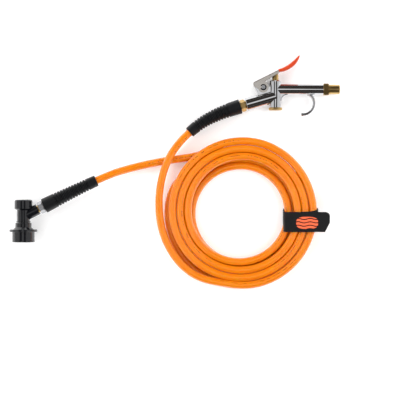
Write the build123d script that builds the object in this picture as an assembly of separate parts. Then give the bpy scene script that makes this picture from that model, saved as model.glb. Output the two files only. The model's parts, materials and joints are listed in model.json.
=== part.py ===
from build123d import *

import math
import os

# A lever-operated air blow gun on a strapped coil of reinforced polyurethane hose, whose far end
# carries a ball-lock quick coupler. Everything lies on a flat surface at Z = 0.
# +X runs along the gun's barrel towards its nozzle, +Y runs up its valve towards the lever,
# and +Z points away from the surface. Lengths are millimetres and angles are degrees.
# While it is drawn, X = 0 is the valve's axis and Y = 0 the barrel's axis. At the end everything
# moves so that the origin is under the middle of the gun, at the surface.

# ---- driving dimensions: hose and bend restrictors ----
hose_od = 9.5
hose_bore = 6.35
boot_length = 72.5
boot_big_r = 9.3
boot_small_r = 7.0
boot_big_land = 16.5
boot_small_land = 12.0
boot_ribs = 11
boot_rib_width = 2.6
boot_groove_depth = 1.0
boot_socket_depth = 21.0
ferrule_length = 17.0
ferrule_wall = 1.5
fit_gap = 0.05
loose_gap = 0.2

# ---- driving dimensions: blow gun ----
barrel_r = 7.1
barrel_length = 59.75
housing_r = 7.5
housing_top = 11.1
housing_bottom = -22.75
inlet_r = 8.25
inlet_length = 38.0
inlet_drop = 8.7
inlet_angle = 16.0
air_passage_r = 2.5
inlet_thread_r = 5.6
inlet_thread_depth = 13.0
nozzle_thread_r = 4.6
nozzle_thread_depth = 10.0
chamber_r = 5.5
seat_y = -5.5
throat_r = 3.2
guide_floor = 1.5
lug_thickness = 8.4
hook_r = 14.0
hook_centre = (34.5, -17.5)
hook_thickness = 4.2
hook_width = 5.6
hook_root_angle = 62.0
hook_tip_angle = -92.0
gusset_r = 6.5
gusset_width = 9.0
gusset_edge_r = 1.4

# ---- driving dimensions: lever, pivot and valve ----
pivot = (-15.25, 2.4)
pin_r = 2.4
pin_head_r = 3.7
pin_head_height = 1.1
clip_r = 3.9
clip_thickness = 0.8
lever_angle = 26.6
lever_sheet = 1.5
lever_height = 11.15
lever_inner_width = 9.0
lever_back = -8.0
lever_front = 25.4
lever_flange_depth = 3.4
cheek_r = 6.5
grip_curve_r = 36.0
grip_start_angle = 8.0
grip_end_angle = 64.0
grip_skin = 2.0
button_r = 3.95
button_dome_r = 5.0
button_gap = 0.15
button_foot = 5.0
stem_r = 1.8
poppet_r = 4.7
poppet_thickness = 3.4
valve_seal_thickness = 1.6
plug_flange_r = 8.55
plug_flange_height = 3.3
plug_spigot_height = 5.0
spring_wire_r = 0.4

# ---- driving dimensions: nozzle and inlet fitting ----
nozzle_hex = 14.3
nozzle_hex_length = 7.0
nozzle_tip_r = 5.95
nozzle_tip_length = 13.8
nozzle_jet_r = 1.5
nozzle_mouth_r = 3.2
nozzle_mouth_depth = 6.0
fitting_hex = 13.2
fitting_hex_length = 7.0
tail_r = 3.15
tail_bore_r = 2.2
tail_length = 19.0
barb_height = 0.35
barb_count = 4

# ---- driving dimensions: ball-lock quick coupler, heights up from its open end ----
coupler_x = -314.5
coupler_y = -190.9
skirt_r = 13.95
wing_r = 17.35
wing_low = 12.75
wing_high = 15.75
collar_cone_top = 18.5
collar_neck_r = 10.05
collar_top = 24.1
neck_r = 8.0
head_low = 39.7
head_r = 11.15
head_top = 52.2
cap_top = 53.0
post_r = 8.95
socket_wall = 1.45
socket_lip = 0.8
socket_top = 15.0
post_wall_top = 12.9
ball_r = 1.6
ball_height = 6.0
ball_count = 4
ball_standoff = 0.7
ball_travel = 0.95
collar_travel = 3.5
collar_pocket_r = 9.1
collar_floor = 1.0
spring_stop_r = 8.95
spring_stop_low = 25.2
spring_stop_thickness = 1.0
coupler_chamber_r = 5.6
coupler_throat_r = 3.2
coupler_seat = 18.0
plunger_r = 4.9
cap_plug_r = 8.0
cap_plug_depth = 10.0
cap_slot = 2.0
arm_height = 31.9
arm_angle = 27.0
arm_r = 6.8
arm_length = 20.6
stem_thread_r = 4.4
nut_flats = 13.6
nut_start = 22.2
nut_length = 6.0
coupler_boot_start = 28.4

# ---- driving dimensions: coil and strap ----
coil_x = -44.0
coil_y = -154.2
coil_inner_r = 54.0
coil_outer_r = 96.0
coil_edge = 4.5
strap_y = -11.6
strap_width = 25.0
strap_sheet = 1.8
strap_inner_inset = 0.8
strap_outer_inset = 0.2
strap_tab = 15.5

# ---- sizes that follow from the driving dimensions ----
hose_r = hose_od / 2
gun_z = boot_big_r
coupler_z = wing_r
coil_height = 2 * hose_od
ferrule_r = hose_r + fit_gap + ferrule_wall
ball_centre_r = post_r + ball_standoff
strap_inner_x = coil_inner_r + strap_inner_inset
strap_outer_x = coil_outer_r - strap_outer_inset
chamber_top = head_top - cap_plug_depth


def direction(angle):
    """The unit vector at an angle in the XY plane."""
    return Vector(math.cos(math.radians(angle)), math.sin(math.radians(angle)), 0)


inlet_out = direction(180 + inlet_angle)
inlet_end = Vector(0, -inlet_drop, gun_z) + inlet_out * inlet_length
gun_boot_start = inlet_end + inlet_out * fitting_hex_length
arm_out = direction(arm_angle)
arm_root = Vector(coupler_x, coupler_y + arm_height, coupler_z)
coupler_boot = arm_root + arm_out * coupler_boot_start

# The hose's route, chosen by hand. It leaves the gun's fitting, bends inside the restrictor,
# crosses over the coupler's end of the hose and joins the coil's upper layer.
gun_route = [
    gun_boot_start + inlet_out * 0.5,
    gun_boot_start + inlet_out * 36.0,
    (-114.9, -58.7, 11.0),
    (-136.1, -88.9, 15.8),
    (-145.8, -125.5, 13.5),
    (-145.6, -160.4, 12.4),
    (-138.2, -189.5, 12.8),
    (-121.0, -217.4, 14.0),
    (-97.5, -235.4, 14.25),
    (-68.0, -242.0, 14.25),
]
# From the coupler's restrictor down to the surface, under the gun's end and into the lower layer.
coupler_route = [
    coupler_boot + arm_out * 0.5,
    coupler_boot + arm_out * 82.0,
    (-172.0, -95.6, 4.8),
    (-131.0, -87.9, 4.8),
    (-97.0, -83.6, 4.8),
    (-66.0, -81.2, 4.8),
]


# ---- helpers ----
def turned(outline, base, axis):
    """A solid of revolution: outline holds (radius, height) points, with heights along axis from base."""
    face = Plane.XZ * make_face(Polyline(*outline, close=True))
    return Plane(origin=base, z_dir=axis).location * revolve(face, axis=Axis.Z)


def rod(base, axis, radius, length):
    """A solid cylinder from base along axis."""
    return extrude(Plane(origin=base, z_dir=axis) * Circle(radius), amount=length)


def tube(base, axis, outer, inner, length):
    """A hollow cylinder from base along axis."""
    return rod(base, axis, outer, length) - rod(base, axis, inner, length)


def ring(base, axis, major, minor):
    """An O-ring round axis."""
    return Plane(origin=base, z_dir=axis).location * Torus(major, minor)


def hex_bar(base, axis, flats, length, chamfer_depth=0.8):
    """A hexagonal bar with its corners turned down at both ends."""
    corner_r = flats / math.sqrt(3)
    bar = extrude(Plane(origin=base, z_dir=axis) * RegularPolygon(corner_r, 6), amount=length)
    turned_down = flats / 2
    envelope = [
        (0, 0),
        (turned_down, 0),
        (corner_r, chamfer_depth),
        (corner_r, length - chamfer_depth),
        (turned_down, length),
        (0, length),
    ]
    return bar & turned(envelope, base, axis)


def plate(points, z_low, thickness):
    """A flat plate of that outline in XY, from z_low upwards."""
    return extrude(Pos(0, 0, z_low) * make_face(Polyline(*points, close=True)), amount=thickness)


def compression_spring(base, axis, coil_r, wire_r, length, turns):
    """A helical spring that just reaches its two seats, a length apart."""
    height = length - 2 * wire_r
    helix = Helix(pitch=height / turns, height=height, radius=coil_r)
    section = Plane(origin=helix @ 0, z_dir=helix % 0) * Circle(wire_r)
    wire = sweep(section, path=helix, is_frenet=True)
    return Plane(origin=Vector(base) + Vector(axis) * wire_r, z_dir=axis).location * wire


def hose_path(points):
    """Straight runs joined by tangent arcs, each as large as its two runs allow."""
    route = [Vector(*p) for p in points]
    radii = []
    for before, corner, after in zip(route, route[1:], route[2:]):
        run_in = corner - before
        run_out = after - corner
        half_turn = math.radians(run_in.get_angle(run_out)) / 2
        radii.append(0.45 * min(run_in.length, run_out.length) / math.tan(half_turn))
    print("bend radii", [round(r) for r in radii])
    return FilletPolyline(*route, radius=radii)


def tube_along(path, outer, inner):
    """A hollow tube swept along a path."""
    start = Plane(origin=path @ 0, z_dir=path % 0)
    return sweep(start * Circle(outer), path=path) - sweep(start * Circle(inner), path=path)


# ---- blow gun ----
def gun_casting():
    """The one-piece casting: inlet handle, valve housing, barrel, lever lug and finger hook."""
    up = Vector(0, 1, 0)
    along = Vector(1, 0, 0)
    valve_foot = Vector(0, housing_bottom, gun_z)
    valve_height = housing_top - housing_bottom
    inlet_root = Vector(0, -inlet_drop, gun_z)
    housing = turned(
        [
            (0, 0),
            (housing_r, 0),
            (housing_r, valve_height - 1.2),
            (housing_r - 1.2, valve_height),
            (0, valve_height),
        ],
        valve_foot,
        up,
    )
    handle = rod(inlet_root, inlet_out, inlet_r, inlet_length)
    handle = fillet(handle.edges().filter_by(GeomType.CIRCLE).sort_by(Axis.X)[0], 0.8)
    barrel = rod(Vector(0, 0, gun_z), along, barrel_r, barrel_length)
    lug = plate(
        [
            (-26.2, 5.4),
            (-26.4, 2.6),
            (-23.3, -2.2),
            (-22.4, -7.0),
            (-22.0, -13.5),
            (-2.0, -7.0),
            (-2.0, 4.0),
            (-9.5, 4.0),
            (-11.5, 7.0),
            (-18.5, 8.6),
        ],
        gun_z - lug_thickness / 2,
        lug_thickness,
    )
    corners = lug.edges().filter_by(Axis.Z).sort_by(Axis.X)
    lug = fillet(corners[:3], 1.6)
    lug = fillet(lug.faces().sort_by(Axis.Z)[-1].edges() + lug.faces().sort_by(Axis.Z)[0].edges(), 0.5)
    body = housing + handle + barrel + lug + finger_hook() + barrel_gusset()
    return body - gun_cavities(inlet_root)


def finger_hook():
    """The curved hook under the barrel, which a finger pulls on: an oval bar with a round tip."""
    centre = Vector(*hook_centre, gun_z)
    arc = CenterArc(centre, hook_r, hook_root_angle, hook_tip_angle - hook_root_angle)
    section = Plane(origin=arc @ 0, x_dir=(0, 0, 1), z_dir=arc % 0)
    bar = sweep(section * Ellipse(hook_width / 2, hook_thickness / 2), path=arc)
    tip = arc @ 1
    bead = Pos(*tip) * Sphere(hook_thickness / 2 + 0.3)
    foot = Pos(*(arc @ 0)) * Sphere(hook_thickness / 2 + 0.9)
    return bar + bead + foot


def barrel_gusset():
    """The concave web under the barrel where it leaves the valve housing, with rounded edges."""
    near_x = housing_r - 1.5
    near_y = -barrel_r + 1.5
    side = gusset_r + 2.5
    outline = make_face(
        Polyline(
            (near_x, near_y),
            (near_x, near_y - side),
            (near_x + side, near_y - side),
            (near_x + side, near_y),
            close=True,
        )
    ) - Pos(near_x + side, near_y - side) * Circle(gusset_r + 0.9)
    web = extrude(Pos(0, 0, gun_z - gusset_width / 2) * outline, amount=gusset_width)
    arcs = web.edges().filter_by(GeomType.CIRCLE)
    return fillet(arcs, gusset_edge_r)


def gun_cavities(inlet_root):
    """The bores inside the casting: valve chamber, throat, guide, air passages and threads."""
    up = Vector(0, 1, 0)
    along = Vector(1, 0, 0)
    chamber = rod(Vector(0, housing_bottom, gun_z), up, chamber_r, seat_y - housing_bottom)
    throat = rod(Vector(0, seat_y, gun_z), up, throat_r, guide_floor - seat_y)
    guide = rod(
        Vector(0, guide_floor, gun_z), up, button_r + fit_gap, housing_top - guide_floor
    )
    jet_passage = rod(Vector(0, 0, gun_z), along, air_passage_r, barrel_length)
    nozzle_thread = rod(
        Vector(barrel_length - nozzle_thread_depth, 0, gun_z),
        along,
        nozzle_thread_r + fit_gap,
        nozzle_thread_depth,
    )
    inlet_passage = rod(inlet_root, inlet_out, air_passage_r, inlet_length)
    inlet_thread = rod(
        inlet_root + inlet_out * (inlet_length - inlet_thread_depth),
        inlet_out,
        inlet_thread_r + fit_gap,
        inlet_thread_depth,
    )
    pivot_bore = rod(
        Vector(*pivot, gun_z - lug_thickness), Vector(0, 0, 1), pin_r + fit_gap, 2 * lug_thickness
    )
    return chamber + throat + guide + jet_passage + nozzle_thread + inlet_passage + inlet_thread + pivot_bore


def lever_plane():
    """The lever's own plane: X along its top plate, Y out of the plate, origin on the pivot."""
    return Plane(
        origin=(pivot[0], pivot[1], gun_z), x_dir=direction(lever_angle), z_dir=Vector(0, 0, 1)
    )


def lever_outline(thickness):
    """The lever's plate and curved thumb rest seen from the side, in the lever's own plane."""
    half = thickness / 2
    mid = lever_height - lever_sheet / 2
    start_turn = grip_start_angle - lever_angle
    end_turn = grip_end_angle - lever_angle
    bend = Vector(lever_front, mid, 0)
    centre = bend + direction(90 + start_turn) * grip_curve_r

    def on_curve(turn, radius):
        return centre + direction(turn - 90) * radius

    return bend, centre, half, mid, start_turn, end_turn, on_curve


def thumb_rest(thickness, width, start_trim, end_trim):
    """The curved part of the lever: an arc-shaped strip across the lever's width."""
    _, _, half, _, start_turn, end_turn, on_curve = lever_outline(thickness)
    first = start_turn + start_trim
    last = end_turn - end_trim
    middle = (first + last) / 2
    far_arc = ThreePointArc(
        on_curve(first, grip_curve_r + half),
        on_curve(middle, grip_curve_r + half),
        on_curve(last, grip_curve_r + half),
    )
    near_arc = ThreePointArc(
        on_curve(last, grip_curve_r - half),
        on_curve(middle, grip_curve_r - half),
        on_curve(first, grip_curve_r - half),
    )
    edges = far_arc + Line(far_arc @ 1, near_arc @ 0) + near_arc + Line(near_arc @ 1, far_arc @ 0)
    strip = extrude(make_face(edges), amount=width / 2, both=True)
    return lever_plane().location * strip


def lever_stamping():
    """The folded sheet lever: top plate, side flanges with pivot cheeks, and the curved end."""
    outer_width = lever_inner_width + 2 * lever_sheet
    low = lever_height - lever_sheet
    top = Pos((lever_back + lever_front) / 2, (low + lever_height) / 2, 0) * Box(
        lever_front - lever_back + 0.6, lever_sheet, outer_width
    )
    outline = make_face(
        Polyline(
            (lever_back - 0.3, lever_height),
            (lever_back - 1.8, low - lever_flange_depth + 0.2),
            (-cheek_r * 0.9, -cheek_r * 0.1),
            (0, -cheek_r * 0.9),
            (cheek_r * 0.98, 0),
            (cheek_r, cheek_r * 0.5),
            (cheek_r * 0.72, low - lever_flange_depth - 0.6),
            (cheek_r + 0.4, low - lever_flange_depth),
            (lever_front + 0.3, low - 2.2),
            (lever_front + 0.3, lever_height),
            close=True,
        )
    ) + Circle(cheek_r)
    cheek = extrude(outline, amount=lever_sheet)
    upright = cheek.edges().filter_by(Axis.Z)
    cheek = fillet(upright.sort_by(Axis.X)[1], 1.2)
    near = Pos(0, 0, lever_inner_width / 2) * cheek
    far = Pos(0, 0, -outer_width / 2) * cheek
    folded = top + near + far
    folded = fillet(folded.edges().filter_by(Axis.X).sort_by(Axis.Y)[-2:], 0.9)
    folded -= Pos(0, 0, -outer_width) * extrude(Circle(pin_r + fit_gap), amount=2 * outer_width)
    folded = lever_plane().location * folded
    return folded + thumb_rest(lever_sheet, outer_width, 0, 6)


def lever_grip():
    """The dipped vinyl sleeve on the curved end."""
    outer_width = lever_inner_width + 2 * lever_sheet
    sleeve = thumb_rest(
        lever_sheet + 2 * grip_skin, outer_width + 2 * grip_skin, 2.2, 0
    )
    sleeve = fillet(sleeve.edges().filter_by(GeomType.CIRCLE), 1.8)
    return sleeve - lever_stamping()


def pivot_pin():
    """The headed pin that the lever turns on, with the groove for its clip."""
    outer = lever_inner_width / 2 + lever_sheet
    head_at = outer + 0.1 + pin_head_height
    clip_low = head_at + outer + 0.1
    outline = [
        (0, 0),
        (pin_head_r - 0.4, 0),
        (pin_head_r, 0.4),
        (pin_head_r, pin_head_height),
        (pin_r, pin_head_height),
        (pin_r, clip_low),
        (pin_r - 0.5, clip_low),
        (pin_r - 0.5, clip_low + clip_thickness + 0.1),
        (pin_r, clip_low + clip_thickness + 0.1),
        (pin_r, clip_low + 1.5),
        (pin_r - 0.3, clip_low + 1.8),
        (0, clip_low + 1.8),
    ]
    return turned(outline, Vector(*pivot, gun_z - head_at), Vector(0, 0, 1))


def pivot_clip():
    """The C-shaped spring clip in the pin's groove, open towards the lever's back."""
    outer = lever_inner_width / 2 + lever_sheet
    base = Vector(*pivot, gun_z + outer + 0.15)
    clip = tube(base, Vector(0, 0, 1), clip_r, pin_r - 0.5 + 0.02, clip_thickness)
    mouth = Pos(pivot[0] - clip_r, pivot[1], base.Z + clip_thickness / 2) * Box(
        2 * clip_r, 2.6, 3 * clip_thickness
    )
    return clip - mouth


def button_centre_y():
    """The height of the button dome's centre that leaves the gap under the lever's plate."""
    a = math.radians(lever_angle)
    reach = -pivot[0]
    under = lever_height - lever_sheet
    return pivot[1] + (under - button_dome_r - button_gap + math.sin(a) * reach) / math.cos(a)


def valve_stem():
    """The brass push button and its thin stem, with the groove for the stem seal."""
    up = Vector(0, 1, 0)
    dome_y = button_centre_y()
    shoulder = dome_y + math.sqrt(button_dome_r**2 - button_r**2)
    foot = seat_y - valve_seal_thickness - poppet_thickness - 0.1
    groove_y = housing_top - 2.6
    base = Vector(0, foot, gun_z)
    shaft = rod(base, up, stem_r, button_foot - foot)
    button = rod(Vector(0, button_foot, gun_z), up, button_r, dome_y + button_dome_r - button_foot)
    dome = Pos(0, dome_y, gun_z) * Sphere(button_dome_r)
    below = rod(Vector(0, button_foot, gun_z), up, button_r, shoulder - button_foot)
    button = (button & dome) + below
    groove = tube(Vector(0, groove_y - 0.9, gun_z), up, button_r + 1, button_r - 0.85, 1.8)
    return shaft + button - groove


def stem_seal():
    """The O-ring in the button's groove."""
    minor = 0.85
    return ring(
        Vector(0, housing_top - 2.6, gun_z), Vector(0, 1, 0), button_r - 0.85 + minor, minor
    ) & tube(
        Vector(0, housing_top - 3.6, gun_z), Vector(0, 1, 0), button_r + fit_gap / 2, button_r - 0.85, 2.0
    )


def valve_seal():
    """The rubber washer that closes on the seat."""
    low = seat_y - 0.1 - valve_seal_thickness
    return tube(Vector(0, low, gun_z), Vector(0, 1, 0), poppet_r, stem_r, valve_seal_thickness)


def valve_poppet():
    """The brass disc that carries the seal, with a hub for the spring."""
    low = seat_y - 0.1 - valve_seal_thickness - poppet_thickness
    disc = tube(
        Vector(0, low + 1.4, gun_z), Vector(0, 1, 0), poppet_r, stem_r, poppet_thickness - 1.4
    )
    hub = tube(Vector(0, low, gun_z), Vector(0, 1, 0), stem_r + 0.9, stem_r, 1.4)
    return disc + hub


def valve_spring():
    """The return spring between the poppet and the bottom plug."""
    top = seat_y - 0.1 - valve_seal_thickness - poppet_thickness + 1.4
    low = housing_bottom + plug_spigot_height - 1.5
    return compression_spring(
        Vector(0, low, gun_z), Vector(0, 1, 0), stem_r + 0.9 + 0.3 + spring_wire_r, spring_wire_r, top - low, 5
    )


def bottom_plug():
    """The brass screw plug that closes the valve chamber, with a driver slot in its flange."""
    spigot_r = chamber_r - fit_gap
    high = plug_flange_height + plug_spigot_height
    outline = [
        (0, 0),
        (plug_flange_r - 0.5, 0),
        (plug_flange_r, 0.5),
        (plug_flange_r, plug_flange_height - 0.3),
        (plug_flange_r - 0.3, plug_flange_height),
        (spigot_r, plug_flange_height),
        (spigot_r, plug_flange_height + 0.4),
        (spigot_r - 1.2, plug_flange_height + 0.4),
        (spigot_r - 1.2, plug_flange_height + 1.8),
        (spigot_r, plug_flange_height + 1.8),
        (spigot_r, high),
        (spigot_r - 0.9, high),
        (spigot_r - 0.9, high - 1.5),
        (0, high - 1.5),
    ]
    base = Vector(0, housing_bottom - plug_flange_height, gun_z)
    slot = Pos(0, base.Y + 0.6, gun_z) * Box(3 * plug_flange_r, 1.2, 1.8)
    return turned(outline, base, Vector(0, 1, 0)) - slot


def plug_seal():
    """The O-ring round the plug's spigot."""
    minor = 0.6
    return ring(
        Vector(0, housing_bottom + 1.1, gun_z), Vector(0, 1, 0), chamber_r - fit_gap - 1.2 + minor, minor
    )


def nozzle():
    """The brass nozzle: threaded spigot, hexagon and plain tip, bored right through."""
    along = Vector(1, 0, 0)
    base = Vector(barrel_length, 0, gun_z)
    spigot = rod(
        base - along * (nozzle_thread_depth - 0.5), along, nozzle_thread_r, nozzle_thread_depth - 0.5
    )
    hexagon = hex_bar(base, along, nozzle_hex, nozzle_hex_length)
    tip = turned(
        [
            (0, 0),
            (nozzle_tip_r, 0),
            (nozzle_tip_r, nozzle_tip_length - 0.8),
            (nozzle_tip_r - 0.8, nozzle_tip_length),
            (0, nozzle_tip_length),
        ],
        base + along * nozzle_hex_length,
        along,
    )
    end = base + along * (nozzle_hex_length + nozzle_tip_length)
    whole_length = nozzle_thread_depth + nozzle_hex_length + nozzle_tip_length
    jet = rod(end - along * whole_length, along, nozzle_jet_r, whole_length)
    mouth = rod(end - along * nozzle_mouth_depth, along, nozzle_mouth_r, nozzle_mouth_depth)
    return spigot + hexagon + tip - jet - mouth


def hose_tail(base, axis):
    """A barbed tail that the hose is pushed over: outline points from base along axis."""
    root_r = tail_r - barb_height
    pitch = (tail_length - 3.0) / barb_count
    outline = [(0, 0), (root_r, 0)]
    for i in range(barb_count):
        at = 2.0 + i * pitch
        outline += [(root_r, at), (tail_r, at + 0.2), (root_r, at + 0.85 * pitch)]
    outline += [(root_r, tail_length), (0, tail_length)]
    return turned(outline, base, axis)


def inlet_fitting():
    """The brass hexagon fitting: thread into the gun, hexagon, and barbed tail into the hose."""
    thread = rod(
        inlet_end - inlet_out * (inlet_thread_depth - 1), inlet_out, inlet_thread_r, inlet_thread_depth - 1
    )
    neck_length = 1.3
    neck = rod(inlet_end, inlet_out, inlet_thread_r - 0.4, neck_length)
    hexagon = hex_bar(
        inlet_end + inlet_out * neck_length, inlet_out, fitting_hex, fitting_hex_length - neck_length
    )
    tail = hose_tail(gun_boot_start, inlet_out)
    bore_length = inlet_thread_depth + fitting_hex_length + tail_length
    bore = rod(
        inlet_end - inlet_out * inlet_thread_depth, inlet_out, tail_bore_r, bore_length + 1
    )
    return thread + neck + hexagon + tail - bore


# ---- hose ends ----
def ferrule(base, axis):
    """The brass sleeve that is crimped over the hose on its tail."""
    outline = [
        (hose_r + fit_gap, 0.0),
        (ferrule_r, 0.0),
        (ferrule_r, 3.0),
        (ferrule_r - 0.5, 3.4),
        (ferrule_r - 0.5, 5.4),
        (ferrule_r, 5.8),
        (ferrule_r, 9.0),
        (ferrule_r - 0.5, 9.4),
        (ferrule_r - 0.5, 11.4),
        (ferrule_r, 11.8),
        (ferrule_r, ferrule_length),
        (hose_r + fit_gap, ferrule_length),
    ]
    return turned(outline, base, axis)


def bend_restrictor(path):
    """The ribbed rubber sleeve over a hose end, along the first boot_length of the hose's path."""
    whole = path.length
    route = Wire(path.edges())

    def part_path(first, last):
        """The stretch of the path between two distances along it."""
        return route.trim(first / whole, last / whole)

    def follow(first, last, radius):
        """A plain rod of that radius along a stretch of the path."""
        stretch = part_path(first, last)
        return sweep(Plane(origin=stretch @ 0, z_dir=stretch % 0) * Circle(radius), path=stretch)

    def land(first, last, radius_first, radius_last):
        """A short tapered ring between two distances along the path."""
        low = route @ (first / whole)
        span = (route @ (last / whole) - low).length
        outline = [(0, 0), (radius_first, 0), (radius_last, span), (0, span)]
        return turned(outline, low, route % (first / whole))

    def skin_r(at):
        """The sleeve's outer radius at a distance along the path."""
        return boot_big_r + (boot_small_r - boot_big_r) * at / boot_length

    sleeve = follow(boot_big_land - 1, boot_length - boot_small_land + 1, boot_small_r - boot_groove_depth)
    sleeve += land(0, boot_big_land, boot_big_r, skin_r(boot_big_land))
    sleeve += follow(boot_length - boot_small_land, boot_length, boot_small_r)
    pitch = (boot_length - boot_big_land - boot_small_land) / (boot_ribs + 0.5)
    for i in range(boot_ribs):
        at = boot_big_land + (i + 0.75) * pitch - boot_rib_width / 2
        valley_r = skin_r(at) - boot_groove_depth
        sleeve += land(at - pitch, at + 0.1, valley_r, valley_r)
        sleeve += land(at, at + boot_rib_width, skin_r(at), skin_r(at + boot_rib_width))
    bore = follow(0, boot_length + 4, hose_r + loose_gap)
    socket = rod(path @ 0, path % 0, ferrule_r + loose_gap, boot_socket_depth)
    return sleeve - bore - socket


# ---- ball-lock coupler ----
def coupler_base(height):
    """The point on the coupler's axis at that height above its open end."""
    return Vector(coupler_x, coupler_y + height, coupler_z)


def coupler_body():
    """The moulded body: post socket, neck with the spring's stop ring, head and side arm."""
    up = Vector(0, 1, 0)
    outer = post_r + socket_wall
    ball_race = 0.25
    outline = [
        (post_r + 0.5, socket_lip),
        (outer, socket_lip),
        (outer, wing_high),
        (neck_r, wing_high + 2.0),
        (neck_r, spring_stop_low),
        (spring_stop_r, spring_stop_low),
        (spring_stop_r, spring_stop_low + spring_stop_thickness),
        (neck_r, spring_stop_low + spring_stop_thickness),
        (neck_r, head_low),
        (head_r, head_low + 2.0),
        (head_r, head_top - 0.5),
        (head_r - 0.5, head_top),
        (cap_plug_r + fit_gap, head_top),
        (cap_plug_r + fit_gap, chamber_top),
        (coupler_chamber_r, chamber_top),
        (coupler_chamber_r, coupler_seat + 1.4),
        (coupler_throat_r, coupler_seat),
        (coupler_throat_r, socket_top),
        (post_r + ball_race, socket_top),
        (post_r + ball_race, post_wall_top),
        (post_r, post_wall_top),
        (post_r, ball_height + 2.2),
        (post_r + ball_race, ball_height + 2.2),
        (post_r + ball_race, ball_height - 2.2),
        (post_r, ball_height - 2.2),
        (post_r, socket_lip + 0.5),
    ]
    body = turned(outline, coupler_base(0), up)
    arm = rod(arm_root + arm_out * (neck_r * 0.5), arm_out, arm_r, arm_length - neck_r * 0.5)
    arm = fillet(arm.edges().filter_by(GeomType.CIRCLE).sort_by(Axis.X)[-1], 0.7)
    body += arm
    chamber = rod(coupler_base(coupler_seat + 1.4), up, coupler_chamber_r, chamber_top - coupler_seat - 1.4)
    arm_bore = rod(arm_root, arm_out, 2.0, arm_length)
    arm_thread = rod(
        arm_root + arm_out * (arm_length - 9.0), arm_out, stem_thread_r + fit_gap, 9.0
    )
    cap_bore = rod(coupler_base(chamber_top), up, cap_plug_r + fit_gap, head_top - chamber_top)
    body = body - chamber - cap_bore - arm_bore - arm_thread
    for axis in ball_axes():
        body -= rod(coupler_base(ball_height), axis, ball_r + fit_gap, outer + 1)
    return body


def ball_axes():
    """The outward direction of each locking ball."""
    return [
        Vector(
            math.cos(math.radians(45 + 360 * i / ball_count)),
            0,
            math.sin(math.radians(45 + 360 * i / ball_count)),
        )
        for i in range(ball_count)
    ]


def lock_balls():
    """The steel balls that hold the keg post, one node each because each moves its own way."""
    return {
        f"lock_ball_{i + 1}": Pos(*(coupler_base(ball_height) + axis * ball_centre_r)) * Sphere(ball_r)
        for i, axis in enumerate(ball_axes())
    }


def lock_collar():
    """The sliding collar: skirt with a conical bore that lets the balls out, pull ring and neck.

    The neck is a pocket, open upwards, whose floor carries the collar's spring.
    """
    slope = ball_travel / collar_travel
    at_ball = ball_centre_r + (ball_r + fit_gap) * math.sqrt(1 + slope**2)
    straight_r = post_r + socket_wall + loose_gap
    cone_top = ball_height + (at_ball - straight_r) / slope
    neck_bore = neck_r + loose_gap
    floor_low = wing_high + 2.3
    outline = [
        (at_ball + slope * ball_height, 0),
        (skirt_r, 0),
        (skirt_r, wing_low),
        (wing_r - 0.5, wing_low),
        (wing_r, wing_low + 0.6),
        (wing_r, wing_high - 0.6),
        (wing_r - 0.5, wing_high),
        (skirt_r - 1.1, wing_high),
        (collar_neck_r, collar_cone_top),
        (collar_neck_r, collar_top - 0.4),
        (collar_neck_r - 0.4, collar_top),
        (collar_pocket_r, collar_top),
        (collar_pocket_r, floor_low + collar_floor),
        (neck_bore, floor_low + collar_floor),
        (neck_bore, floor_low),
        (straight_r, wing_high + 0.3),
        (straight_r, cone_top),
    ]
    return turned(outline, coupler_base(0), Vector(0, 1, 0))


def collar_spring():
    """The spring between the collar's floor and the body's stop ring, which pushes the collar down."""
    low = wing_high + 2.3 + collar_floor
    wire = 0.3
    return compression_spring(
        coupler_base(low), Vector(0, 1, 0), neck_r + wire + 0.2, wire, spring_stop_low - low, 4
    )


def plunger():
    """The poppet that the keg post lifts: pin, head with seal groove and spring spigot."""
    pin_low = socket_top - 2.0
    head_low_at = coupler_seat + 1.7
    outline = [
        (0, pin_low),
        (1.4, pin_low),
        (1.8, pin_low + 0.5),
        (1.8, head_low_at),
        (plunger_r - 1.2, head_low_at),
        (plunger_r - 1.2, head_low_at + 1.4),
        (plunger_r, head_low_at + 1.4),
        (plunger_r, head_low_at + 3.4),
        (2.0, head_low_at + 3.4),
        (2.0, head_low_at + 8.0),
        (0, head_low_at + 8.0),
    ]
    return turned(outline, coupler_base(0), Vector(0, 1, 0))


def plunger_seal():
    """The O-ring that the plunger presses onto its seat."""
    minor = 0.65
    return ring(
        coupler_base(coupler_seat + 1.7 + 0.75), Vector(0, 1, 0), plunger_r - 1.2 + minor, minor
    )


def plunger_spring():
    """The spring between the plunger and the cap."""
    low = coupler_seat + 1.7 + 3.4
    return compression_spring(
        coupler_base(low), Vector(0, 1, 0), 2.0 + spring_wire_r + 0.3, spring_wire_r, chamber_top - low, 7
    )


def coupler_cap():
    """The slotted screw cap that closes the head."""
    outline = [
        (0, chamber_top),
        (cap_plug_r - 1.0, chamber_top),
        (cap_plug_r - 1.0, chamber_top + 1.6),
        (cap_plug_r, chamber_top + 1.6),
        (cap_plug_r, head_top),
        (head_r - 0.7, head_top),
        (head_r - 1.6, cap_top),
        (0, cap_top),
    ]
    cap = turned(outline, coupler_base(0), Vector(0, 1, 0))
    slot_centre = coupler_base(cap_top - 0.6)
    return cap - Pos(*slot_centre) * Box(2 * head_r, 1.8, cap_slot)


def cap_seal():
    """The O-ring between the cap and the body."""
    minor = 0.45
    return ring(coupler_base(chamber_top + 0.8), Vector(0, 1, 0), cap_plug_r - 1.0 + minor + 0.03, minor)


def flare_stem():
    """The threaded metal stub moulded into the arm, with a conical nose."""
    low = arm_length - 8.8
    nose = nut_start + 2.6
    outline = [
        (2.0, low),
        (stem_thread_r, low),
        (stem_thread_r, nose - 1.2),
        (stem_thread_r - 1.6, nose),
        (2.0, nose),
    ]
    return turned(outline, arm_root, arm_out)


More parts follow.
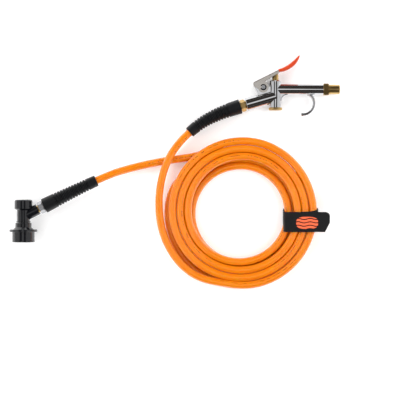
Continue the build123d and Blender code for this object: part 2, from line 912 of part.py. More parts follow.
def flare_washer():
    """The thin nylon washer between the stub's nose and the hose tail."""
    nose = nut_start + 2.6
    outline = [
        (2.0, nose + 0.05),
        (stem_thread_r - 1.65, nose + 0.05),
        (stem_thread_r - 0.25, nose - 1.0),
        (stem_thread_r - 0.25, nose - 0.5),
        (stem_thread_r - 1.6, nose + 0.5),
        (2.0, nose + 0.5),
    ]
    return turned(outline, arm_root, arm_out)


def swivel_nut():
    """The hexagon nut that turns on the hose tail and pulls it onto the stub."""
    nut = hex_bar(arm_root + arm_out * nut_start, arm_out, nut_flats, nut_length)
    bored = turned(
        [
            (0, 0),
            (stem_thread_r + fit_gap, 0),
            (stem_thread_r + fit_gap, 4.1),
            (tail_r + 0.55, 4.7),
            (tail_r + 0.55, nut_length),
            (0, nut_length),
        ],
        arm_root + arm_out * nut_start,
        arm_out,
    )
    return nut - bored


def coupler_tail():
    """The swivel tail: a flared head held by the nut and a barbed shank in the hose."""
    nose = nut_start + 2.6
    outline = [
        (tail_bore_r - 0.2, nose + 0.55),
        (stem_thread_r - 1.6, nose + 0.55),
        (stem_thread_r - 0.25, nose - 0.45),
        (stem_thread_r - 0.25, nut_start + 4.0),
        (tail_r + 0.5, nut_start + 4.6),
        (tail_r + 0.5, coupler_boot_start),
        (tail_bore_r - 0.2, coupler_boot_start),
    ]
    head = turned(outline, arm_root, arm_out)
    tail = hose_tail(coupler_boot, arm_out)
    bore = rod(arm_root + arm_out * nut_start, arm_out, tail_bore_r - 0.2, nut_length + tail_length + 4)
    return head + tail - bore


# ---- coil and strap ----
def coil_solid(hose_ends):
    """The outer shape of the wound hose, with a waist under the strap and a bed for each loose end."""
    width = coil_outer_r - coil_inner_r
    middle = (coil_outer_r + coil_inner_r) / 2
    profile = Plane.XZ * (Pos(middle, coil_height / 2) * RectangleRounded(width, coil_height, coil_edge))
    solid = Pos(coil_x, coil_y, 0) * revolve(profile, axis=Axis.Z)
    for path in hose_ends:
        solid -= sweep(Plane(origin=path @ 0, z_dir=path % 0) * Circle(hose_r), path=path)
    band_width = strap_width + 0.6
    waist = Pos(coil_x + middle, coil_y + strap_y, coil_height / 2) * Box(
        2 * width, band_width, 3 * coil_height
    )
    low_x = strap_inner_x + 0.1
    high_x = strap_outer_x - 0.1
    kept = Pos(coil_x + (low_x + high_x) / 2, coil_y + strap_y, strap_sheet + 0.1 + coil_height / 2) * Box(
        high_x - low_x, band_width, coil_height
    )
    kept = fillet(kept.edges().filter_by(Axis.Y), 1.4)
    return solid - (waist - kept)


def strap():
    """The hook-and-loop strap: a closed band round the coil and a tab past its outer side."""
    low_z = 0.0
    high_z = coil_height + 2 * strap_sheet + 0.3
    left = coil_x + strap_inner_x - strap_sheet
    right = coil_x + strap_outer_x + strap_sheet
    middle_z = (low_z + high_z) / 2
    outer = Pos((left + right) / 2, middle_z) * RectangleRounded(right - left, high_z, 3.0)
    inner = Pos((left + right) / 2, middle_z) * RectangleRounded(
        right - left - 2 * strap_sheet, high_z - 2 * strap_sheet, 1.2
    )
    tab = Pos(right + strap_tab / 2 - 4.0, high_z - strap_sheet / 2) * Rectangle(strap_tab + 2, strap_sheet)
    outline = outer + tab - inner
    y_mid = coil_y + strap_y
    return extrude(
        Plane(origin=(0, y_mid, 0), x_dir=(1, 0, 0), z_dir=(0, -1, 0)) * outline,
        amount=strap_width / 2,
        both=True,
    )


def build():
    """Every piece of the object by node name, in the drawing's place."""
    gun_path = hose_path(gun_route)
    coupler_path = hose_path(coupler_route)
    for name, path in (("gun end", gun_path), ("coupler end", coupler_path)):
        print(name, "of the hose is", round(path.length), "mm long")
    return {
        "gun_body": gun_casting(),
        "lever": lever_stamping(),
        "lever_grip": lever_grip(),
        "lever_pin": pivot_pin(),
        "lever_clip": pivot_clip(),
        "valve_stem": valve_stem(),
        "stem_seal": stem_seal(),
        "valve_seal": valve_seal(),
        "valve_poppet": valve_poppet(),
        "valve_spring": valve_spring(),
        "bottom_plug": bottom_plug(),
        "plug_seal": plug_seal(),
        "nozzle": nozzle(),
        "inlet_fitting": inlet_fitting(),
        "gun_ferrule": ferrule(gun_boot_start + inlet_out * 1.5, inlet_out),
        "gun_bend_restrictor": bend_restrictor(gun_path),
        "hose_gun_end": tube_along(gun_path, hose_r, hose_bore / 2),
        "hose_coil": coil_solid([gun_path, coupler_path]),
        "hose_coupler_end": tube_along(coupler_path, hose_r, hose_bore / 2),
        "coil_strap": strap(),
        "coupler_bend_restrictor": bend_restrictor(coupler_path),
        "coupler_ferrule": ferrule(coupler_boot + arm_out * 1.5, arm_out),
        "coupler_tail": coupler_tail(),
        "swivel_nut": swivel_nut(),
        "flare_washer": flare_washer(),
        "flare_stem": flare_stem(),
        "coupler_body": coupler_body(),
        "coupler_cap": coupler_cap(),
        "cap_seal": cap_seal(),
        "plunger": plunger(),
        "plunger_seal": plunger_seal(),
        "plunger_spring": plunger_spring(),
        "lock_collar": lock_collar(),
        "collar_spring": collar_spring(),
        **lock_balls(),
    }


gun_nodes = [
    "gun_body",
    "lever",
    "lever_grip",
    "lever_pin",
    "lever_clip",
    "valve_stem",
    "bottom_plug",
    "nozzle",
    "inlet_fitting",
    "gun_bend_restrictor",
]

pieces = build()
boxes = [pieces[name].bounding_box() for name in gun_nodes]
middle_x = (min(b.min.X for b in boxes) + max(b.max.X for b in boxes)) / 2
middle_y = (min(b.min.Y for b in boxes) + max(b.max.Y for b in boxes)) / 2
print("origin is at", round(middle_x, 3), round(middle_y, 3), "in the drawing")
os.makedirs("parts", exist_ok=True)
for name, solid in pieces.items():
    export_step(Pos(-middle_x, -middle_y, 0) * solid, f"parts/{name}.step")
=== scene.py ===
"""Air blow gun on a strapped coil of clear orange hose, with a ball-lock coupler at its far end."""

from __future__ import annotations

import json
import logging
import math
from dataclasses import dataclass, field
from enum import Enum
from functools import partial
from typing import Union

import bmesh
import bpy
import numpy as np
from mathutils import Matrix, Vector


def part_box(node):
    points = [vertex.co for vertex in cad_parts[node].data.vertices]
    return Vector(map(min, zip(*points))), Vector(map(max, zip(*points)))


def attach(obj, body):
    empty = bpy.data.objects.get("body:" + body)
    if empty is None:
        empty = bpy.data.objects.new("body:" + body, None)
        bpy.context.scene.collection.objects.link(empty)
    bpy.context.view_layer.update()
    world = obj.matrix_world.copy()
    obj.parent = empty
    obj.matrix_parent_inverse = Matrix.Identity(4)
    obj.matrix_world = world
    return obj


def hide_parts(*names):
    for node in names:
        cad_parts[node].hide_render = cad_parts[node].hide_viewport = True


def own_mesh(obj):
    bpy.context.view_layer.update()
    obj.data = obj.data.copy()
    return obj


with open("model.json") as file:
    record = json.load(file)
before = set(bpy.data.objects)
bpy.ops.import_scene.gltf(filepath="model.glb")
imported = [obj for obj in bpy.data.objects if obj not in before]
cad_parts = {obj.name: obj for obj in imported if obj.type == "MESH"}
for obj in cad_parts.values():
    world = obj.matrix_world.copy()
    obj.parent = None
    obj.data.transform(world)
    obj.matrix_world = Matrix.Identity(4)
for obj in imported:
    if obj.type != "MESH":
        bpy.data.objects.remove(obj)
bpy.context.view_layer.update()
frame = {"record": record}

LOG = logging.getLogger("blow_gun")
Point = tuple[float, float, float]
Colour = tuple[float, float, float, float]
Value = Union[float, int, Point, Colour, bpy.types.NodeSocket]
Inputs = Union[dict[Union[str, int], Value], tuple[Value, ...]]

MM = 0.001


class Body(str, Enum):
    """Bodies of the frame that new pieces ride on."""

    GUN = "gun"
    LEVER = "lever"


class Slot(str, Enum):
    """Material slots of the record."""

    CHROME = "chrome_plate"
    NICKEL = "nickel_plate"
    VINYL = "vinyl"
    STEEL = "steel"
    SPRING_STEEL = "black_spring_steel"
    BRASS = "brass"
    RUBBER = "rubber"
    MOULDED_RUBBER = "moulded_rubber"
    HOSE = "hose_polyurethane"
    STRAP = "strap_nylon"
    WHITE_NYLON = "white_nylon"
    PLASTIC = "black_plastic"


# ---------------------------------------------------------------- places taken from the frame


def drawing_origin() -> Vector:
    """Find the point that all lengths below are measured from.

    Returns:
        The crossing of the valve's and the barrel's axes, brought down to the surface.
    """
    low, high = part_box("bottom_plug")
    plug_below_barrel = 26.05 * MM
    return Vector(((low[0] + high[0]) / 2, low[1] + plug_below_barrel, 0.0))


ORIGIN = drawing_origin()


def place(x: float, y: float, z: float) -> Point:
    """Turn a place in the drawing, in millimetres, into one in the frame.

    Args:
        x: Millimetres along the barrel from the valve's axis.
        y: Millimetres up the valve from the barrel's axis.
        z: Millimetres above the surface.

    Returns:
        The same place in metres in the frame.
    """
    return (ORIGIN.x + x * MM, ORIGIN.y + y * MM, z * MM)


# ---------------------------------------------------------------- meshes


def grid_faces(rows: int, columns: int, wrap_rows: bool) -> np.ndarray:
    """List the quads of a grid whose columns close on themselves.

    Args:
        rows: Number of rings.
        columns: Number of points in each ring.
        wrap_rows: Whether the last ring joins the first.

    Returns:
        An (n, 4) array of vertex numbers, wound so that normals point out of the rings.
    """
    row = np.arange(rows if wrap_rows else rows - 1)[:, None]
    column = np.arange(columns)[None, :]
    after_row = (row + 1) % rows
    after_column = (column + 1) % columns
    corners = [
        row * columns + column,
        after_row * columns + column,
        after_row * columns + after_column,
        row * columns + after_column,
    ]
    return np.stack([np.broadcast_to(c, corners[0].shape) for c in corners], axis=-1).reshape(-1, 4)


def mesh_object(
    name: str, rings: np.ndarray, uv: np.ndarray | None = None, wrap_rows: bool = False
) -> bpy.types.Object:
    """Make a closed piece from rings of points.

    Args:
        name: Name of the new object.
        rings: Points as (rings, points in a ring, 3), in metres.
        uv: Texture places as (rings, points in a ring, 2); a ring's last face runs on past its last point.
        wrap_rows: Whether the last ring joins the first; otherwise both ends are closed flat.

    Returns:
        The new object, at the origin and smooth-shaded.
    """
    rows, columns, _ = rings.shape
    quads = grid_faces(rows, columns, wrap_rows)
    faces = [tuple(quad) for quad in quads.tolist()]
    if not wrap_rows:
        faces.append(tuple(range(columns)))
        faces.append(tuple(reversed(range((rows - 1) * columns, rows * columns))))
    mesh = bpy.data.meshes.new(name)
    mesh.from_pydata(rings.reshape(-1, 3).tolist(), [], faces)
    mesh.shade_smooth()
    if uv is not None:
        layer = mesh.uv_layers.new(name="along")
        loops = np.zeros((len(mesh.loops), 2))
        step = uv[:, 1:2] - uv[:, 0:1]
        wide = np.concatenate([uv, uv[:, -1:] + step], axis=1)
        row = quads[:, 0] // columns
        column = quads[:, 0] % columns
        corner = np.stack(
            [
                wide[row, column],
                wide[(row + 1) % rows, column],
                wide[(row + 1) % rows, column + 1],
                wide[row, column + 1],
            ],
            axis=1,
        )
        loops[: quads.size] = corner.reshape(-1, 2)
        layer.data.foreach_set("uv", loops.astype(np.float32).ravel())
    piece = bpy.data.objects.new(name, mesh)
    bpy.context.scene.collection.objects.link(piece)
    outward(piece)
    return piece


def outward(piece: bpy.types.Object) -> None:
    """Turn a closed piece's normals outwards.

    Args:
        piece: The mesh object to put right.
    """
    work = bmesh.new()
    work.from_mesh(piece.data)
    bmesh.ops.recalc_face_normals(work, faces=work.faces)
    work.to_mesh(piece.data)
    work.free()


def sharpen(piece: bpy.types.Object, degrees: float) -> None:
    """Keep edges sharp where two faces meet at more than an angle.

    Args:
        piece: The mesh object.
        degrees: The angle.
    """
    piece.data.set_sharp_from_angle(angle=math.radians(degrees))


@dataclass
class Line:
    """A line through space with its length and its directions, for sweeping things along it."""

    points: np.ndarray
    at: np.ndarray = field(init=False)
    tangent: np.ndarray = field(init=False)
    side: np.ndarray = field(init=False)
    up: np.ndarray = field(init=False)

    def __post_init__(self) -> None:
        """Measure the line: distance from its start, tangent, and two directions across it.

        Side is the tangent crossed with vertical, and up is side crossed with the tangent.
        """
        steps = np.linalg.norm(np.diff(self.points, axis=0), axis=1)
        self.at = np.concatenate([[0.0], np.cumsum(steps)])
        tangent = np.gradient(self.points, self.at, axis=0)
        self.tangent = tangent / np.linalg.norm(tangent, axis=1, keepdims=True)
        side = np.cross(self.tangent, np.array([0.0, 0.0, 1.0]))
        self.side = side / np.linalg.norm(side, axis=1, keepdims=True)
        self.up = np.cross(self.side, self.tangent)

    @property
    def length(self) -> float:
        """The line's whole length in metres."""
        return float(self.at[-1])

    def sampled(self, distances: np.ndarray) -> Line:
        """Read the line at other distances from its start.

        Args:
            distances: Rising distances in metres.

        Returns:
            A line through those places.
        """
        columns = [np.interp(distances, self.at, self.points[:, i]) for i in range(3)]
        return Line(np.stack(columns, axis=1))


def sweep_ring(line: Line, radius: np.ndarray, sides: int) -> np.ndarray:
    """Put a circle round each point of a line.

    point(i, a) = line(i) + radius(i) * (cos(a) * side(i) + sin(a) * up(i))

    Args:
        line: The line to follow.
        radius: The circle's radius at each of the line's points.
        sides: Points in each circle.

    Returns:
        Rings of points as (points in the line, sides, 3).
    """
    angle = np.linspace(0.0, 2 * math.pi, sides, endpoint=False)
    across = np.cos(angle)[None, :, None] * line.side[:, None, :]
    above = np.sin(angle)[None, :, None] * line.up[:, None, :]
    return line.points[:, None, :] + radius[:, None, None] * (across + above)


def tube_uv(line: Line, sides: int) -> np.ndarray:
    """Lay out a swept tube: distance along it in metres, and turns round it.

    Args:
        line: The line that the tube follows.
        sides: Points in each of its rings.

    Returns:
        Texture places as (points in the line, sides, 2).
    """
    along = np.broadcast_to(line.at[:, None], (len(line.at), sides))
    turn = np.broadcast_to(np.arange(sides)[None, :] / sides, along.shape)
    return np.stack([along, turn], axis=-1)


def hollow_tube(name: str, line: Line, outer: np.ndarray, inner: np.ndarray, sides: int) -> bpy.types.Object:
    """Sweep a wall along a line, open inside and closed at both mouths.

    The rings run out along the outer radius and back along the inner one, so the surface closes on itself.

    Args:
        name: Name of the new object.
        line: The line to follow.
        outer: Outer radius at each of its points.
        inner: Inner radius at each of its points.
        sides: Points in each ring.

    Returns:
        The new object, with distance and turns as its texture places.
    """
    out = sweep_ring(line, outer, sides)
    back = sweep_ring(line, inner, sides)[::-1]
    rings = np.concatenate([out, back])
    uv = tube_uv(line, sides)
    piece = mesh_object(name, rings, np.concatenate([uv, uv[::-1]]), wrap_rows=True)
    sharpen(piece, 50)
    return piece


# ---------------------------------------------------------------- materials


def linear(code: str) -> Colour:
    """Turn an sRGB colour code into linear light.

    Args:
        code: A colour such as "#cc8844".

    Returns:
        Linear red, green and blue, and an opacity of 1.
    """
    parts = [int(code[i : i + 2], 16) / 255 for i in (1, 3, 5)]
    red, green, blue = (p / 12.92 if p <= 0.04045 else ((p + 0.055) / 1.055) ** 2.4 for p in parts)
    return (red, green, blue, 1.0)


def fill(node: bpy.types.Node, inputs: Inputs) -> None:
    """Fill a node's sockets.

    Args:
        node: The node.
        inputs: Values or other nodes' outputs, in the sockets' order or by socket name or number.
    """
    for key, value in inputs.items() if isinstance(inputs, dict) else enumerate(inputs):
        if isinstance(value, bpy.types.NodeSocket):
            node.id_data.links.new(value, node.inputs[key])
        else:
            node.inputs[key].default_value = value


def add(
    tree: bpy.types.NodeTree, kind: str, inputs: Inputs = (), output: str | int = 0, **settings: object
) -> bpy.types.NodeSocket:
    """Add a shader node, set its fields and fill its sockets.

    Args:
        tree: The node tree.
        kind: The node's type, without its "ShaderNode" prefix.
        inputs: What goes into its sockets, as fill takes it.
        output: Name or number of the output that is wanted.
        **settings: Fields of the node itself.

    Returns:
        The wanted output's socket.
    """
    node = tree.nodes.new("ShaderNode" + kind)
    for key, value in settings.items():
        setattr(node, key, value)
    fill(node, inputs)
    return node.outputs[output]


def blank(name: str) -> tuple[bpy.types.Material, bpy.types.NodeTree, bpy.types.Node]:
    """Start a material with a Principled surface.

    Args:
        name: The real material's name.

    Returns:
        The material, its tree and its surface node.
    """
    material = bpy.data.materials.new(name)
    material.use_nodes = True
    tree = material.node_tree
    return material, tree, tree.nodes["Principled BSDF"]


@dataclass(frozen=True)
class Finish:
    """A hard surface: two close colours in clouds, with fine grain in its roughness and relief."""

    name: str
    colour: str
    worn: str
    metallic: float
    roughness: tuple[float, float]
    grains_per_mm: float
    relief: float
    coat: float = 0.0
    stretch: Point = (1.0, 1.0, 1.0)
    clouds_per_mm: float = 0.06
    cloud_range: tuple[float, float] = (-0.6, 1.3)
    most_worn: float = 0.5
    relief_mm: float = 0.1
    coat_roughness: float = 0.08

    def build(self) -> bpy.types.Material:
        """Make the material.

        A coarse cloud mixes the two colours and a fine one drives roughness and relief.

        Returns:
            The material.
        """
        material, tree, surface = blank(self.name)
        node = partial(add, tree)
        on_piece = node("TexCoord", output="Object")
        where = node("Mapping", {"Vector": on_piece, "Scale": self.stretch})
        coarse = node("TexNoise", {"Vector": where, "Scale": self.clouds_per_mm / MM, "Detail": 4.0})
        fine = node("TexNoise", {"Vector": where, "Scale": self.grains_per_mm / MM, "Detail": 6.0})
        low, high = self.cloud_range
        clouds = node("MapRange", {"Value": coarse, "To Min": low, "To Max": high})
        share = node("Math", (clouds, self.most_worn), operation="MULTIPLY", use_clamp=True)
        colours = {0: share, 6: linear(self.colour), 7: linear(self.worn)}
        smooth, rough = self.roughness
        relief = {"Strength": self.relief, "Distance": self.relief_mm * MM, "Height": fine}
        fill(
            surface,
            {
                "Base Color": node("Mix", colours, 2, data_type="RGBA"),
                "Roughness": node("MapRange", {"Value": fine, "To Min": smooth, "To Max": rough}),
                "Normal": node("Bump", relief),
                "Metallic": self.metallic,
                "Coat Weight": self.coat,
                "Coat Roughness": self.coat_roughness,
            },
        )
        return material


FINISHES: dict[Slot, Finish] = {
    # Plated zinc casting, polished: close to a mirror, with the casting's faint unevenness.
    Slot.CHROME: Finish(
        "chrome_on_zinc", "#d9dadd", "#c4c2bf", 1.0, roughness=(0.03, 0.09), grains_per_mm=0.9, relief=0.02
    ),
    # Plated pressed sheet: warmer and softer than the casting, with grain drawn out along it.
    Slot.NICKEL: Finish(
        "nickel_on_steel", "#cfcac4", "#b8b1a8", 1.0, roughness=(0.14, 0.27), grains_per_mm=1.5, relief=0.05,
        stretch=(0.3, 1.0, 1.0),
    ),
    # Turned or drawn steel: plain grey metal with a fine grain.
    Slot.STEEL: Finish(
        "bright_steel", "#b9babd", "#96979b", 1.0, roughness=(0.18, 0.34), grains_per_mm=2.2, relief=0.08
    ),
    # Blackened spring clip: dark, with a dull metal shine.
    Slot.SPRING_STEEL: Finish(
        "black_oxide_steel", "#17171a", "#2a2a2d", 0.7, roughness=(0.3, 0.5), grains_per_mm=2.2, relief=0.1
    ),
    # Turned brass: pale gold, satin from the cutting tool.
    Slot.BRASS: Finish(
        "machined_brass", "#d6b578", "#b08c4e", 1.0, roughness=(0.26, 0.4), grains_per_mm=1.8, relief=0.1
    ),
    # Moulded seals: matt black.
    Slot.RUBBER: Finish(
        "nitrile_rubber", "#101010", "#191919", 0.0, roughness=(0.5, 0.7), grains_per_mm=2.5, relief=0.2
    ),
    # Moulded sleeves: black with a broad, low sheen.
    Slot.MOULDED_RUBBER: Finish(
        "moulded_rubber", "#08090b", "#111317", 0.0, roughness=(0.4, 0.56), grains_per_mm=2.6, relief=0.25
    ),
    # Moulded hard plastic: black and glossy, with sharp highlights.
    Slot.PLASTIC: Finish(
        "black_acetal", "#08090c", "#11141a", 0.0, roughness=(0.13, 0.24),
        grains_per_mm=1.4, relief=0.08, coat=0.35,
    ),
    # Dipped soft vinyl: orange-red with a slow, wet-looking surface.
    Slot.VINYL: Finish(
        "dipped_vinyl", "#c43e12", "#b4350e", 0.0, roughness=(0.28, 0.42),
        grains_per_mm=0.7, relief=0.12, coat=0.25,
    ),
    # Moulded washer: off-white, between gloss and matt.
    Slot.WHITE_NYLON: Finish(
        "white_nylon", "#e3e0d8", "#d6d1c6", 0.0, roughness=(0.35, 0.5), grains_per_mm=1.5, relief=0.1
    ),
}


@dataclass(frozen=True)
class HoseFinish:
    """Clear orange polyurethane over a braid: a wet gloss, a deep colour and a faint lattice inside."""

    light: str = "#f08306"
    dark: str = "#e27204"
    thread: str = "#ffa63e"
    ink: str = "#5a2408"
    clouds_per_mm: float = 0.034
    grains_per_mm: float = 0.5
    roughness: tuple[float, float] = (0.16, 0.3)
    # The braid: its pitch along the hose, threads round it, how fast each fades and how pale it is.
    braid_pitch_mm: float = 4.2
    threads_round: float = 10.0
    thread_fade: float = 6.0
    thread_share: float = 0.2
    # The ticks: a cell for each, in runs, on a line that wanders round the hose by so many turns.
    tick_cell_mm: float = 1.9
    least_filled: float = 0.25
    more_filled: float = 0.45
    empty_cells: float = 0.45
    run_mm: float = 310.0
    inked_run: float = 0.34
    line_turn: float = 0.285
    wander_turn: float = 0.07
    wander_per_m: float = 7.0
    half_height_turn: float = 0.008
    more_height_turn: float = 0.01
    ink_strength: float = 0.8

    def build(self) -> bpy.types.Material:
        """Make the material.

        Clouds mix the two oranges, the braid's threads lie over them, and the ink over both.

        Returns:
            The material.
        """
        material, tree, surface = blank("clear_polyurethane")
        node = partial(add, tree)
        u, v, _ = node("SeparateXYZ", (node("UVMap", uv_map="along"),)).node.outputs
        braid = self.braid(tree, u, v)
        on_piece = node("TexCoord", output="Object")
        cloud = node("TexNoise", {"Vector": on_piece, "Scale": self.clouds_per_mm / MM, "Detail": 3.0})
        depth = node("MapRange", {"Value": cloud, "To Min": 0.0, "To Max": 1.0})
        oranges = {0: depth, 6: linear(self.light), 7: linear(self.dark)}
        base = node("Mix", oranges, 2, data_type="RGBA")
        shown = node("Math", (braid, self.thread_share), operation="MULTIPLY")
        woven = node("Mix", {0: shown, 6: base, 7: linear(self.thread)}, 2, data_type="RGBA")
        marked = {0: self.ticks(tree, u, v), 6: woven, 7: linear(self.ink)}
        fine = node("TexNoise", {"Vector": on_piece, "Scale": self.grains_per_mm / MM, "Detail": 4.0})
        raised = node("Math", (braid, 0.25), operation="MULTIPLY")
        pitted = node("Math", (fine, 0.5), operation="MULTIPLY")
        height = node("Math", (raised, pitted), operation="ADD")
        smooth, rough = self.roughness
        fill(
            surface,
            {
                "Base Color": node("Mix", marked, 2, data_type="RGBA"),
                "Roughness": node("MapRange", {"Value": fine, "To Min": smooth, "To Max": rough}),
                "Normal": node("Bump", {"Strength": 0.12, "Distance": 0.2 * MM, "Height": height}),
                "Subsurface Weight": 0.6,
                "Subsurface Radius": (1.0, 0.32, 0.06),
                "Subsurface Scale": 6.0 * MM,
                "Coat Weight": 0.7,
                "Coat Roughness": 0.06,
            },
        )
        return material

    def braid(
        self, tree: bpy.types.NodeTree, u: bpy.types.NodeSocket, v: bpy.types.NodeSocket
    ) -> bpy.types.NodeSocket:
        """Mark the threads of both hands, which cross.

        A thread is 1 - fade * abs(fract(u / pitch +- v * threads) - 0.5), and no less than 0.

        Args:
            tree: The node tree.
            u: Distance along the hose in metres.
            v: Turns round the hose.

        Returns:
            A socket that is 1 along a thread's middle and 0 between threads.
        """
        node = partial(add, tree)
        threads = []
        for hand in (1.0, -1.0):
            turned = node("Math", (v, self.threads_round * hand), operation="MULTIPLY")
            pitches = node("Math", (u, 1 / (self.braid_pitch_mm * MM)), operation="MULTIPLY")
            phase = node("Math", (pitches, turned), operation="ADD")
            within = node("Math", (phase,), operation="FRACT")
            centred = node("Math", (within, 0.5), operation="SUBTRACT")
            off = node("Math", (centred,), operation="ABSOLUTE")
            faded = node("Math", (off, self.thread_fade), operation="MULTIPLY")
            threads.append(node("Math", (1.0, faded), operation="SUBTRACT", use_clamp=True))
        return node("Math", tuple(threads), operation="MAXIMUM")

    def ticks(
        self, tree: bpy.types.NodeTree, u: bpy.types.NodeSocket, v: bpy.types.NodeSocket
    ) -> bpy.types.NodeSocket:
        """Mark where ink is: a row of plain ticks, with no lettering, along one side of the hose.

        White noise gives each cell a chance, which sets whether it is inked, and how wide and high.

        Args:
            tree: The node tree.
            u: Distance along the hose in metres.
            v: Turns round the hose.

        Returns:
            A socket that is the ink's strength on a tick and 0 elsewhere.
        """
        node = partial(add, tree)
        cell = node("Math", (u, 1 / (self.tick_cell_mm * MM)), operation="MULTIPLY")
        number = node("Math", (cell,), operation="FLOOR")
        chance = node("TexWhiteNoise", {"W": number}, noise_dimensions="1D")
        in_cell = node("Math", (cell,), operation="FRACT")
        more = node("Math", (chance, self.more_filled), operation="MULTIPLY")
        filled = node("Math", (self.least_filled, more), operation="ADD")
        inside = node("Math", (in_cell, filled), operation="LESS_THAN")
        present = node("Math", (chance, self.empty_cells), operation="GREATER_THAN")
        runs = node("Math", (u, 1 / (self.run_mm * MM)), operation="MULTIPLY")
        in_run = node("Math", (runs,), operation="FRACT")
        run = node("Math", (in_run, self.inked_run), operation="LESS_THAN")
        swing = node("Math", (u, self.wander_per_m), operation="MULTIPLY")
        wave = node("Math", (swing,), operation="SINE")
        twist = node("Math", (wave, self.wander_turn), operation="MULTIPLY")
        line = node("Math", (twist, self.line_turn), operation="ADD")
        beside = node("Math", (v, line), operation="SUBTRACT")
        off_line = node("Math", (beside,), operation="ABSOLUTE")
        taller = node("Math", (chance, self.more_height_turn), operation="MULTIPLY")
        half_height = node("Math", (self.half_height_turn, taller), operation="ADD")
        in_line = node("Math", (off_line, half_height), operation="LESS_THAN")
        tick = node("Math", (inside, present), operation="MULTIPLY")
        shown = node("Math", (run, in_line), operation="MULTIPLY")
        ink = node("Math", (tick, shown), operation="MULTIPLY")
        return node("Math", (ink, self.ink_strength), operation="MULTIPLY")


@dataclass(frozen=True)
class StrapFinish:
    """Black woven hook-and-loop tape, dull and fuzzy, with a plain orange badge."""

    fibre: str = "#060607"
    lint: str = "#121214"
    badge: str = "#f0683f"
    weave_pitch_mm: float = 0.75
    fuzz_per_mm: float = 1.5
    # The badge: its middle on the tape, half its size, and the stripes that cross it.
    badge_middle_mm: tuple[float, float] = (28.5, -1.0)
    badge_half_mm: tuple[float, float] = (13.5, 7.5)
    corner_power: float = 3.0
    ripple_mm: float = 0.7
    ripple_per_m: float = 420.0
    stripe_pitch_mm: float = 4.2
    stripe_share: float = 0.3
    print_strength: float = 0.93

    def build(self) -> bpy.types.Material:
        """Make the material.

        With x along the tape and y across it, the weave is sin(x / pitch) * sin(y / pitch).

        Returns:
            The material.
        """
        material, tree, surface = blank("nylon_hook_and_loop")
        node = partial(add, tree)
        x, y, _ = node("SeparateXYZ", (node("UVMap", uv_map="along"),)).node.outputs
        threads_per_m = 2 * math.pi / (self.weave_pitch_mm * MM)
        ribs = []
        for way in (x, y):
            phase = node("Math", (way, threads_per_m), operation="MULTIPLY")
            ribs.append(node("Math", (phase,), operation="SINE"))
        crossed = node("Math", tuple(ribs), operation="MULTIPLY")
        weave = node("MapRange", {"Value": crossed, "To Min": 0.3, "To Max": 0.7})
        on_piece = node("TexCoord", output="Object")
        fuzz = node("TexNoise", {"Vector": on_piece, "Scale": self.fuzz_per_mm / MM, "Detail": 8.0})
        blacks = {0: fuzz, 6: linear(self.fibre), 7: linear(self.lint)}
        cloth = node("Mix", blacks, 2, data_type="RGBA")
        printed = {0: self.printed(tree, x, y), 6: cloth, 7: linear(self.badge)}
        lifted = node("Math", (fuzz, 0.8), operation="MULTIPLY")
        height = node("Math", (weave, lifted), operation="ADD")
        fill(
            surface,
            {
                "Base Color": node("Mix", printed, 2, data_type="RGBA"),
                "Normal": node("Bump", {"Strength": 0.6, "Distance": 0.3 * MM, "Height": height}),
                "Roughness": node("MapRange", {"Value": fuzz, "To Min": 0.65, "To Max": 0.95}),
                "Sheen Weight": 0.15,
                "Sheen Roughness": 0.5,
            },
        )
        return material

    def printed(
        self, tree: bpy.types.NodeTree, x: bpy.types.NodeSocket, y: bpy.types.NodeSocket
    ) -> bpy.types.NodeSocket:
        """Mark the badge: a rounded bar crossed by wavy stripes of bare cloth.

        Inside it, abs(x / half_x) ** 3 + abs(y / half_y) ** 3 < 1, from its own middle.

        Args:
            tree: The node tree.
            x: Distance along the tape in metres.
            y: Distance across the tape in metres.

        Returns:
            A socket that is the print's strength on the badge and 0 elsewhere.
        """
        node = partial(add, tree)
        from_middle, reaches = [], []
        for way, middle, half in zip((x, y), self.badge_middle_mm, self.badge_half_mm):
            off = node("Math", (way, middle * MM), operation="SUBTRACT")
            share = node("Math", (off, half * MM), operation="DIVIDE")
            size = node("Math", (share,), operation="ABSOLUTE")
            from_middle.append(off)
            reaches.append(node("Math", (size, self.corner_power), operation="POWER"))
        reach = node("Math", tuple(reaches), operation="ADD")
        inside = node("Math", (reach, 1.0), operation="LESS_THAN")
        swing = node("Math", (from_middle[0], self.ripple_per_m), operation="MULTIPLY")
        sway = node("Math", (swing,), operation="SINE")
        ripple = node("Math", (sway, self.ripple_mm * MM), operation="MULTIPLY")
        height = node("Math", (from_middle[1], ripple), operation="ADD")
        stripes = node("Math", (height, 1 / (self.stripe_pitch_mm * MM)), operation="MULTIPLY")
        wave = node("Math", (stripes,), operation="FRACT")
        bar = node("Math", (wave, self.stripe_share), operation="GREATER_THAN")
        both = node("Math", (inside, bar), operation="MULTIPLY")
        return node("Math", (both, self.print_strength), operation="MULTIPLY")


def make_materials() -> dict[Slot, bpy.types.Material]:
    """Make every material once.

    Returns:
        Slot to material.
    """
    made = {slot: finish.build() for slot, finish in FINISHES.items()}
    made[Slot.HOSE] = HoseFinish().build()
    made[Slot.STRAP] = StrapFinish().build()
    return made


# ---------------------------------------------------------------- hose


